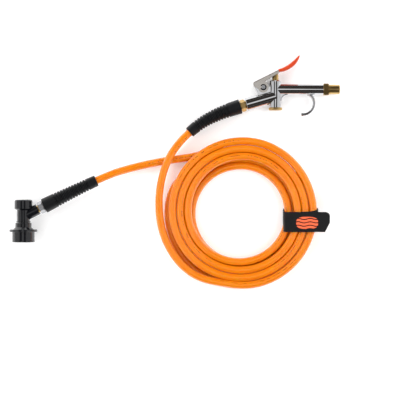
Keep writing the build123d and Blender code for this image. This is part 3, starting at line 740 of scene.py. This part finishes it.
@dataclass(frozen=True)
class HoseSizes:
    """The hose, its route and its winding, in millimetres in the drawing."""

    outer_r: float = 4.75
    bore_r: float = 3.175
    sides: int = 22
    coil_centre: tuple[float, float] = (-44.0, -154.2)
    steps: int = 16
    first_angle: float = 254.7
    gun_exit: Point = (-43.26, -21.1, 9.3)
    gun_route: tuple[Point, ...] = (
        (-43.74, -21.24, 9.3),
        (-77.86, -31.03, 9.3),
        (-114.9, -58.7, 11.0),
        (-136.1, -88.9, 15.8),
        (-145.8, -125.5, 13.5),
        (-145.6, -160.4, 12.4),
        (-138.2, -189.5, 12.8),
        (-121.0, -217.4, 14.0),
        (-97.5, -235.4, 14.25),
        (-68.0, -242.0, 14.25),
    )
    coupler_route: tuple[Point, ...] = (
        (-72.3, -71.9, 4.8),
        (-97.0, -83.6, 4.8),
        (-131.0, -87.9, 4.8),
        (-172.0, -95.6, 4.8),
        (-216.13, -108.88, 17.35),
        (-288.75, -145.88, 17.35),
    )
    # The upper layer winds inwards, and the lower one winds out again below it.
    upper_turns: tuple[float, ...] = (0.0, 0.2, 0.5, 0.96, 1.5, 1.96, 2.5, 2.96, 3.25)
    upper_radii: tuple[float, ...] = (91.0, 91.2, 90.4, 81.4, 80.8, 71.8, 71.2, 62.2, 60.0)
    lower_turns: tuple[float, ...] = (3.6, 4.1, 4.6, 5.1, 5.55, 5.645, 5.75, 6.0, 6.4)
    lower_radii: tuple[float, ...] = (58.6, 64.0, 68.2, 73.0, 76.8, 79.0, 90.5, 91.0, 91.0)
    drop_turns: tuple[float, ...] = (2.96, 3.25, 3.6)
    drop_heights: tuple[float, ...] = (14.25, 10.5, 4.75)
    strap_angle: float = -8.0
    strap_lift: float = 1.75
    strap_lift_spread: float = 0.5
    ring_spacing: float = 3.0


class Hose:
    """The whole hose as one tube, from the gun's fitting to the coupler's tail."""

    def __init__(self, sizes: HoseSizes) -> None:
        """Find the hose's line.

        Args:
            sizes: Its dimensions.
        """
        self.sizes = sizes
        self.line = self.spline([*sizes.gun_route, *self.winding(), *sizes.coupler_route])

    def winding(self) -> list[Point]:
        """Work out the coil's turns.

        The radius and height follow the tables against turns made. A control point lies outside its
        curve by 1 / (0.75 + 0.25 * cos(step)), and the strap's lower run lifts the turns that cross it.

        Returns:
            Control points in the drawing.
        """
        s = self.sizes
        turns, radii = s.upper_turns + s.lower_turns, s.upper_radii + s.lower_radii
        count = round((turns[-1] - turns[0]) * s.steps)
        outside = 1.0 / (0.75 + 0.25 * math.cos(2 * math.pi / s.steps))
        points = []
        for i in range(1, count + 1):
            turn = i / s.steps
            angle = math.radians(s.first_angle + 360.0 * turn)
            radius = float(np.interp(turn, turns, radii)) * outside
            apart = math.remainder(angle - math.radians(s.strap_angle), 2 * math.pi)
            lift = s.strap_lift * math.exp(-((apart / s.strap_lift_spread) ** 2))
            height = float(np.interp(turn, s.drop_turns, s.drop_heights)) + lift
            x = s.coil_centre[0] + radius * math.cos(angle)
            y = s.coil_centre[1] + radius * math.sin(angle)
            points.append((x, y, height))
        return points

    def spline(self, route: list[Point]) -> Line:
        """Draw a smooth line with the route as its control points.

        Args:
            route: Control points in the drawing.

        Returns:
            The line in the frame.
        """
        curve = bpy.data.curves.new("hose_line", "CURVE")
        curve.dimensions = "3D"
        curve.resolution_u = 12
        path = curve.splines.new("NURBS")
        path.points.add(len(route) - 1)
        for point, where in zip(path.points, route):
            point.co = (*place(*where), 1.0)
        path.order_u = 3
        path.use_endpoint_u = True
        holder = bpy.data.objects.new("hose_line", curve)
        mesh = bpy.data.meshes.new_from_object(holder)
        points = np.empty(len(mesh.vertices) * 3)
        mesh.vertices.foreach_get("co", points)
        bpy.data.objects.remove(holder)
        bpy.data.curves.remove(curve)
        bpy.data.meshes.remove(mesh)
        return Line(points.reshape(-1, 3))

    def build(self, material: bpy.types.Material) -> bpy.types.Object:
        """Make the hose's wall.

        Args:
            material: Its material.

        Returns:
            The hose.
        """
        s = self.sizes
        rings = round(self.line.length / (s.ring_spacing * MM))
        fine = self.line.sampled(np.linspace(0.0, self.line.length, rings))
        outer = np.full(len(fine.at), s.outer_r * MM)
        piece = hollow_tube("hose", fine, outer, outer * (s.bore_r / s.outer_r), s.sides)
        piece.data.materials.append(material)
        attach(piece, Body.GUN.value)
        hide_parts("hose_gun_end", "hose_coil", "hose_coupler_end")
        return piece


# ---------------------------------------------------------------- bend restrictors


@dataclass(frozen=True)
class BootSizes:
    """A ribbed bend restrictor, in millimetres."""

    length: float = 72.5
    big_r: float = 9.3
    small_r: float = 7.0
    big_land: float = 16.5
    small_land: float = 12.0
    ribs: int = 11
    rib_width: float = 2.2
    depth: float = 1.15
    wall: float = 0.35
    bore_r: float = 4.9
    socket_r: float = 6.5
    socket_depth: float = 21.0
    socket_step: float = 0.6
    rounding: float = 0.9
    sides: int = 48
    rings_per_rib: int = 26
    rings_per_end: int = 6


class Boot:
    """The moulded sleeve over a hose end."""

    def __init__(self, name: str, node: str, line: Line, sizes: BootSizes) -> None:
        """Keep what the sleeve follows.

        Args:
            name: The new piece's name.
            node: The frame's node that it stands for.
            line: The hose's line, starting at the fitting.
            sizes: Its dimensions.
        """
        self.name = name
        self.node = node
        self.line = line
        self.sizes = sizes

    def outer(self, at: np.ndarray) -> np.ndarray:
        """Give the outer radius at distances along the sleeve.

        The skin tapers evenly. Between the lands, narrow grooves part flat ribs: with d the distance
        to the nearest rib's middle, the skin dips by depth * t * t * (3 - 2 t) for
        t = (d - rib_width / 2) / wall within 0 to 1. Both ends are rounded as a quarter circle.

        Args:
            at: Distances in millimetres.

        Returns:
            Radii in millimetres.
        """
        s = self.sizes
        skin = s.big_r + (s.small_r - s.big_r) * at / s.length
        pitch = (s.length - s.big_land - s.small_land) / (s.ribs + 0.5)
        from_rib = np.abs(np.mod((at - s.big_land) / pitch - 0.25, 1.0) - 0.5) * pitch
        fall = np.clip((from_rib - s.rib_width / 2) / s.wall, 0.0, 1.0)
        ribbed = (at > s.big_land) & (at < s.length - s.small_land)
        skin = skin - np.where(ribbed, s.depth * fall * fall * (3 - 2 * fall), 0.0)
        near = np.clip(np.minimum(at, s.length - at) / s.rounding, 0.0, 1.0)
        return skin - s.rounding * (1 - np.sqrt(1 - (1 - near) ** 2))

    def inner(self, at: np.ndarray) -> np.ndarray:
        """Give the bore's radius: wide over the ferrule, then close round the hose.

        Args:
            at: Distances in millimetres.

        Returns:
            Radii in millimetres.
        """
        s = self.sizes
        step = np.clip((at - s.socket_depth) / s.socket_step, 0.0, 1.0)
        return s.socket_r + (s.bore_r - s.socket_r) * step

    def build(self, material: bpy.types.Material) -> bpy.types.Object:
        """Make the sleeve.

        Args:
            material: Its material.

        Returns:
            The sleeve.
        """
        s = self.sizes
        ends = s.rounding * (1 - np.cos(np.linspace(0, math.pi / 2, s.rings_per_end)))
        middle = np.linspace(s.rounding, s.length - s.rounding, s.rings_per_rib * s.ribs)
        at = np.concatenate([ends[:-1], middle, s.length - ends[:-1][::-1]])
        follow = self.line.sampled(at * MM)
        piece = hollow_tube(self.name, follow, self.outer(at) * MM, self.inner(at) * MM, s.sides)
        piece.data.materials.append(material)
        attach(piece, Body.GUN.value)
        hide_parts(self.node)
        return piece


# ---------------------------------------------------------------- strap


@dataclass(frozen=True)
class StrapSizes:
    """The hook-and-loop strap, in millimetres in the drawing."""

    width: float = 25.0
    sheet: float = 1.5
    middle_y: float = -165.8
    inner_x: float = 10.1
    outer_x: float = 52.5
    tail_x: float = 67.2
    low_z: float = 0.8
    high_z: float = 20.6
    corner: float = 3.2
    under_end: float = 24.0
    play: float = 0.15
    spacing: float = 0.7
    smoothed: int = 9
    # How far the tape lies to one side of straight, at shares of its length.
    skew: float = 5.5
    skew_at: tuple[float, ...] = (0.0, 0.36, 0.47, 0.62, 0.80, 0.90, 1.0)
    skew_share: tuple[float, ...] = (0.0, 0.0, 0.75, 1.0, 0.95, 0.12, 0.0)
    # The tail's end: how far its corners are cut, and over what length.
    plain_cut: float = 6.5
    round_cut: float = 5.0
    cut_length: float = 12.0
    points_across: int = 21


class Strap:
    """The strap: from its free tail over the coil, round the inside, below, up and in under itself."""

    def __init__(self, sizes: StrapSizes) -> None:
        """Keep the strap's dimensions.

        Args:
            sizes: Its dimensions.
        """
        self.sizes = sizes

    def centreline(self) -> np.ndarray:
        """Follow the middle of the tape.

        Over the coil the tape sags a little between its tail, the coil's top and the inner corner.
        Below it, straight runs are joined by quarter circles of the corner radius. A running mean
        then softens every turn, except that the tail's end keeps its place.

        Returns:
            Points as (n, 3) in millimetres: x, sideways shift in y, and z.
        """
        s = self.sizes
        c = s.corner
        upper = s.high_z + s.sheet + s.play

        def corner(x: float, z: float, start: float, stop: float) -> np.ndarray:
            """Round one corner about a centre, between two angles in degrees."""
            a = np.radians(np.linspace(start, stop, 9))
            return np.stack([x + c * np.cos(a), z + c * np.sin(a)], axis=1)

        tail = [[s.tail_x, upper - 1.6], [s.outer_x + 8, upper - 0.9], [s.outer_x, upper + 0.1]]
        over = [[s.outer_x - 12, upper + 0.25], [s.inner_x + 12, upper - 0.8]]
        runs = [
            np.array([*tail, *over, [s.inner_x + c + 2, s.high_z + 0.2]]),
            corner(s.inner_x + c, s.high_z - c, 90, 180),
            corner(s.inner_x + c, s.low_z + c, 180, 270),
            corner(s.outer_x - c, s.low_z + c, -90, 0),
            corner(s.outer_x - c, s.high_z - c, 0, 90),
            np.array([[s.outer_x - s.under_end, s.high_z + s.play]]),
        ]
        path = np.concatenate(runs)
        steps = np.concatenate([[0.0], np.cumsum(np.linalg.norm(np.diff(path, axis=0), axis=1))])
        total = steps[-1]
        at = np.arange(0.0, total, s.spacing)
        x = np.interp(at, steps, path[:, 0])
        z = np.interp(at, steps, path[:, 1])
        shift = np.interp(at, total * np.array(s.skew_at), s.skew * np.array(s.skew_share))
        kernel = np.ones(s.smoothed) / s.smoothed
        padded = [np.pad(row, s.smoothed // 2, mode="edge") for row in (x, shift, z)]
        rounded = [np.convolve(row, kernel, mode="valid") for row in padded]
        rounded[0][0] = x[0]
        return np.stack(rounded, axis=1)

    def build(self, material: bpy.types.Material) -> bpy.types.Object:
        """Make the tape.

        Each ring is a rounded bar across the tape. At the tail a ring's points are moved along the
        tape by cut(w), where w runs from -1 to 1 across it: a straight slope on one side, a quarter
        of an ellipse on the other. The move shrinks to nothing over the cut's length.

        Args:
            material: Its material.

        Returns:
            The strap.
        """
        s = self.sizes
        middle = self.centreline()
        steps = np.linalg.norm(np.diff(middle[:, [0, 2]], axis=0), axis=1)
        along = np.concatenate([[0.0], np.cumsum(steps)])
        across = np.linspace(-1.0, 1.0, s.points_across)
        slope_cut = s.plain_cut * np.clip(-across - 0.05, 0, 1)
        turned = np.clip((across - 0.55) / 0.45, 0, 1)
        cut = slope_cut + s.round_cut * (1 - np.sqrt(1 - turned**2))
        edge = 1 - np.clip((np.abs(across) - 0.94) / 0.06, 0, 1) ** 2
        moved = along[:, None] + cut[None, :] * np.clip(1 - along[:, None] / s.cut_length, 0, 1)
        x = np.interp(moved, along, middle[:, 0])
        z = np.interp(moved, along, middle[:, 2])
        y = s.middle_y + middle[:, 1][:, None] + across[None, :] * s.width / 2
        slope = np.stack([np.gradient(x, axis=0), np.gradient(z, axis=0)], axis=-1)
        slope /= np.linalg.norm(slope, axis=-1, keepdims=True)
        half = s.sheet / 2 * (0.45 + 0.55 * np.sqrt(np.clip(edge, 0, 1)))[None, :]
        layers = []
        for side in (1.0, -1.0):
            up_x = x + side * half * slope[..., 1]
            up_z = z - side * half * slope[..., 0]
            layers.append(np.stack([up_x, np.broadcast_to(y, x.shape), up_z], axis=-1))
        ring = np.concatenate([layers[0], layers[1][:, ::-1]], axis=1)
        flat_y = np.concatenate([across, across[::-1]]) * s.width / 2 * MM
        flat_x = np.concatenate([moved, moved[:, ::-1]], axis=1) * MM
        uv = np.stack([flat_x, np.broadcast_to(flat_y[None, :], flat_x.shape)], axis=-1)
        world = ring * MM + np.array([ORIGIN.x, ORIGIN.y, 0.0])
        piece = mesh_object("strap", world, uv)
        sharpen(piece, 60)
        piece.data.materials.append(material)
        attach(piece, Body.GUN.value)
        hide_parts("coil_strap")
        return piece


# ---------------------------------------------------------------- thumb rest


@dataclass(frozen=True)
class GripSizes:
    """The vinyl sleeve on the lever's curved end, in millimetres and degrees in the drawing."""

    pivot: tuple[float, float] = (-15.25, 2.4)
    axis_z: float = 9.3
    lever_angle: float = 26.6
    bend: tuple[float, float] = (25.4, 10.4)
    bend_angle: float = 8.0
    curve_r: float = 36.0
    start: float = 9.6
    stop: float = 64.0
    half_width: float = 7.4
    half_thickness: float = 2.1
    leaf: float = 0.42
    rings: int = 56
    points_round: int = 40


class Grip:
    """The dipped sleeve: a rounded bar swept round the lever's curve."""

    def __init__(self, sizes: GripSizes) -> None:
        """Keep the sleeve's dimensions.

        Args:
            sizes: Its dimensions.
        """
        self.sizes = sizes

    def build(self, material: bpy.types.Material) -> bpy.types.Object:
        """Make the sleeve.

        Its section is a superellipse, abs(cos(a)) ** 0.5 by abs(sin(a)) ** 0.75. Both ends shrink as
        a quarter of an ellipse, and the thickness swells in the middle by leaf * sin(pi * share).

        Args:
            material: Its material.

        Returns:
            The sleeve.
        """
        s = self.sizes
        tilt = math.radians(s.lever_angle)
        bend = np.array(s.pivot) + np.array(
            [
                s.bend[0] * math.cos(tilt) - s.bend[1] * math.sin(tilt),
                s.bend[0] * math.sin(tilt) + s.bend[1] * math.cos(tilt),
            ]
        )
        first = math.radians(s.bend_angle)
        centre = bend + s.curve_r * np.array([-math.sin(first), math.cos(first)])
        share = (1 - np.cos(np.linspace(0, math.pi, s.rings))) / 2
        turn = np.radians(s.start + (s.stop - s.start) * share)
        round_in = np.clip(share / 0.02, 0, 1)
        round_out = np.clip((1 - share) / 0.09, 0, 1)
        blunt = 0.86 + 0.14 * np.sqrt(1 - (1 - round_in) ** 2)
        narrow = blunt * (0.3 + 0.7 * np.sqrt(1 - (1 - round_out) ** 2))
        angle = np.linspace(0, 2 * math.pi, s.points_round, endpoint=False)
        wide = np.sign(np.cos(angle)) * np.abs(np.cos(angle)) ** 0.5
        thick = np.sign(np.sin(angle)) * np.abs(np.sin(angle)) ** 0.75
        tip = np.clip((1 - share) / 0.4, 0, 1)
        leaf = (0.9 + s.leaf * np.sin(math.pi * share)) * (0.2 + 0.8 * np.sqrt(1 - (1 - tip) ** 2))
        swell = leaf * np.minimum(1.0, narrow + 0.1)
        radius = s.curve_r - s.half_thickness * swell[:, None] * thick[None, :]
        x = centre[0] + radius * np.sin(turn)[:, None]
        y = centre[1] - radius * np.cos(turn)[:, None]
        taper = narrow * (1.0 - 0.10 * share)
        z = s.axis_z + s.half_width * taper[:, None] * wide[None, :]
        rings = np.stack([x, y, z], axis=-1) * MM + np.array([ORIGIN.x, ORIGIN.y, 0.0])
        piece = mesh_object("thumb_grip", rings)
        piece.data.materials.append(material)
        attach(piece, Body.LEVER.value)
        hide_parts("lever_grip")
        return piece


# ---------------------------------------------------------------- springs


@dataclass(frozen=True)
class Spring:
    """A coil spring: sizes in millimetres, place from its own node."""

    node: str
    joint: str
    wire_r: float
    turns: int
    travel: float
    anchored_high: bool
    steps_a_turn: int = 32
    sides: int = 10

    def build(self, material: bpy.types.Material) -> bpy.types.Object:
        """Make the wire as a helix about Y.

        With t from 0 to 1 the wire's middle is at y = low + wire + t * rise and turns round by
        2 pi * turns * t at the coil's radius.

        Args:
            material: Its material.

        Returns:
            The spring.
        """
        low, high = (np.array(corner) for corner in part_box(self.node))
        wire = self.wire_r * MM
        middle = (low + high) / 2
        coil_r = (high[0] - low[0]) / 2 - wire
        t = np.linspace(0.0, 1.0, self.steps_a_turn * self.turns + 1)
        turn = 2 * math.pi * self.turns * t
        rise = high[1] - low[1] - 2 * wire
        across = middle[0] + coil_r * np.cos(turn)
        deep = middle[2] + coil_r * np.sin(turn)
        path = np.stack([across, low[1] + wire + t * rise, deep], axis=1)
        rings = sweep_ring(Line(path), np.full(len(path), wire), self.sides)
        piece = mesh_object(f"{self.node}_wire", rings)
        piece.data.materials.append(material)
        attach(piece, Body.GUN.value)
        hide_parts(self.node)
        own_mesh(piece)
        return piece


SPRINGS: tuple[Spring, ...] = (
    Spring("valve_spring", "valve_travel", wire_r=0.4, turns=5, travel=2.9, anchored_high=False),
    Spring("plunger_spring", "plunger_lift", wire_r=0.4, turns=7, travel=3.0, anchored_high=True),
    Spring("collar_spring", "collar_lift", wire_r=0.3, turns=4, travel=3.5, anchored_high=True),
)


# ---------------------------------------------------------------- finishing the frame's own nodes


def dress_nodes(materials: dict[Slot, bpy.types.Material]) -> None:
    """Give every carried-over node its material.

    Args:
        materials: Slot to material.
    """
    slots = {entry["node"]: entry["material_slot"] for entry in frame["record"]["subparts"]}
    for node, slot in slots.items():
        piece = bpy.data.objects.get(node)
        if piece is None or piece.type != "MESH":
            continue
        piece.data.materials.clear()
        piece.data.materials.append(materials[Slot(slot)])
        LOG.debug("%s is %s", node, slot)


# ---------------------------------------------------------------- studio


@dataclass(frozen=True)
class Softbox:
    """A large soft light: where it hangs, what it points at, its size and power."""

    name: str
    at: Point
    size: tuple[float, float]
    power: float


SOFTBOXES: tuple[Softbox, ...] = (
    Softbox("left_box", (-1.3, 0.2, 0.9), (1.2, 1.6), 17.5),
    Softbox("right_box", (1.2, 0.1, 0.9), (1.0, 1.6), 15.0),
    Softbox("back_box", (-0.1, 1.3, 1.0), (1.8, 0.8), 13.5),
    Softbox("front_box", (-0.1, -1.4, 1.2), (1.8, 0.8), 14.0),
)


class Studio:
    """A pale floor, soft lights on all sides, a darker ceiling and a camera straight overhead."""

    middle: Point = place(-94.4, -138.4, 0.0)
    floor_reach: float = 3.0
    floor_z: float = -0.0004
    grains_per_mm: float = 0.3
    floor_glow: float = 0.16
    sky_strength: float = 0.9
    camera_height: float = 1.8
    view_width: float = 0.5035

    def floor(self) -> None:
        """Lay the pale floor."""
        corners = self.floor_reach * np.array([[-1, -1, 0], [1, -1, 0], [1, 1, 0], [-1, 1, 0]], float)
        corners += np.array(self.middle)
        corners[:, 2] = self.floor_z
        mesh = bpy.data.meshes.new("floor")
        mesh.from_pydata(corners.tolist(), [], [(0, 1, 2, 3)])
        floor = bpy.data.objects.new("floor", mesh)
        bpy.context.scene.collection.objects.link(floor)
        material, tree, surface = blank("pale_paper")
        on_piece = add(tree, "TexCoord", output="Object")
        grain = add(tree, "TexNoise", {"Vector": on_piece, "Scale": self.grains_per_mm / MM, "Detail": 4.0})
        whites = {0: grain, 6: linear("#f6f6f6"), 7: linear("#fbfbfb")}
        fill(
            surface,
            {
                "Base Color": add(tree, "Mix", whites, 2, data_type="RGBA"),
                "Roughness": 0.9,
                "Emission Color": linear("#ffffff"),
                "Emission Strength": self.floor_glow,
            },
        )
        floor.data.materials.append(material)

    def lights(self) -> None:
        """Hang the softboxes, which light every surface but aren't mirrored in any."""
        bpy.context.scene.view_settings.view_transform = "Standard"
        for box in SOFTBOXES:
            data = bpy.data.lights.new(box.name, "AREA")
            data.shape = "RECTANGLE"
            data.size, data.size_y = box.size
            data.energy = box.power
            lamp = bpy.data.objects.new(box.name, data)
            lamp.location = Vector(self.middle) + Vector(box.at)
            lamp.rotation_euler = (Vector(self.middle) - lamp.location).to_track_quat("-Z", "Y").to_euler()
            lamp.visible_glossy = False
            bpy.context.scene.collection.objects.link(lamp)

    def sky(self) -> None:
        """Shade the sky that glossy surfaces mirror.

        It is white at the horizon and overhead, nearly white far to left and right, a little paler
        in a ring at a height of 0.64, and dark elsewhere. Height is a direction's z, 1 overhead.
        """
        world = bpy.data.worlds.new("studio")
        bpy.context.scene.world = world
        world.use_nodes = True
        tree = world.node_tree
        node = partial(add, tree)
        heading = node("TexCoord", output="Generated")
        left_right, _, height = node("SeparateXYZ", (heading,)).node.outputs
        sideways = node("Math", (left_right,), operation="ABSOLUTE")
        sides = node("MapRange", {"Value": sideways, "From Min": 0.44, "From Max": 0.6, "To Max": 0.85})
        above_horizon = node("MapRange", {"Value": height, "From Min": 0.05, "From Max": 0.16})
        below_zenith = node("MapRange", {"Value": height, "From Min": 0.988, "From Max": 0.976})
        above_ring = node("Math", (height, 0.64), operation="SUBTRACT")
        from_ring = node("Math", (above_ring,), operation="ABSOLUTE")
        fading = node("Math", (from_ring, 18.0), operation="MULTIPLY")
        ring = node("Math", (0.35, fading), operation="SUBTRACT", use_clamp=True)
        shade = node("Math", (below_zenith, ring), operation="SUBTRACT", use_clamp=True)
        between = node("Math", (shade, sides), operation="SUBTRACT", use_clamp=True)
        dark = node("Math", (above_horizon, between), operation="MULTIPLY")
        shades = {0: dark, 6: linear("#ffffff"), 7: linear("#3c3835")}
        colour = node("Mix", shades, 2, data_type="RGBA")
        fill(tree.nodes["Background"], {"Color": colour, "Strength": self.sky_strength})

    def camera(self) -> None:
        """Point a long lens straight down, with the barrel level in the picture."""
        data = bpy.data.cameras.new("camera")
        data.lens = data.sensor_width * self.camera_height / self.view_width
        camera = bpy.data.objects.new("camera", data)
        camera.location = Vector(self.middle) + Vector((0.0, 0.0, self.camera_height))
        camera.rotation_euler = (0.0, 0.0, 0.0)
        bpy.context.scene.collection.objects.link(camera)
        bpy.context.scene.camera = camera


def main() -> None:
    """Build the whole picture."""
    logging.basicConfig(level=logging.INFO)
    studio = Studio()
    studio.floor()
    studio.lights()
    studio.sky()
    studio.camera()
    materials = make_materials()
    dress_nodes(materials)
    sizes = HoseSizes()
    hose = Hose(sizes)
    hose_piece = hose.build(materials[Slot.HOSE])
    from_coupler = Line(hose.line.points[::-1].copy())
    boot = BootSizes()
    gun_boot = Boot("gun_restrictor", "gun_bend_restrictor", hose.line, boot)
    coupler_boot = Boot("coupler_restrictor", "coupler_bend_restrictor", from_coupler, boot)
    gun_sleeve, coupler_sleeve = (b.build(materials[Slot.MOULDED_RUBBER]) for b in (gun_boot, coupler_boot))
    strap = Strap(StrapSizes()).build(materials[Slot.STRAP])
    grip = Grip(GripSizes()).build(materials[Slot.VINYL])
    springs = {spring.node: spring.build(materials[Slot.STEEL]) for spring in SPRINGS}
    replaced = ("coil_strap", "coupler_bend_restrictor", *springs)
    on_cord = [
        node
        for node in frame["record"]["physics"]["cord_nodes"]
        if not node.startswith("hose_") and node not in replaced
    ]
    on_cord += [springs["plunger_spring"], springs["collar_spring"]]
    for piece in (hose_piece, gun_sleeve, coupler_sleeve, strap, grip, *springs.values()):
        LOG.info("%s is made, with %d faces", piece.name, len(piece.data.polygons))
    LOG.info("the hose is %.3f m long", hose.line.length)


if __name__ == "__main__":
    main()
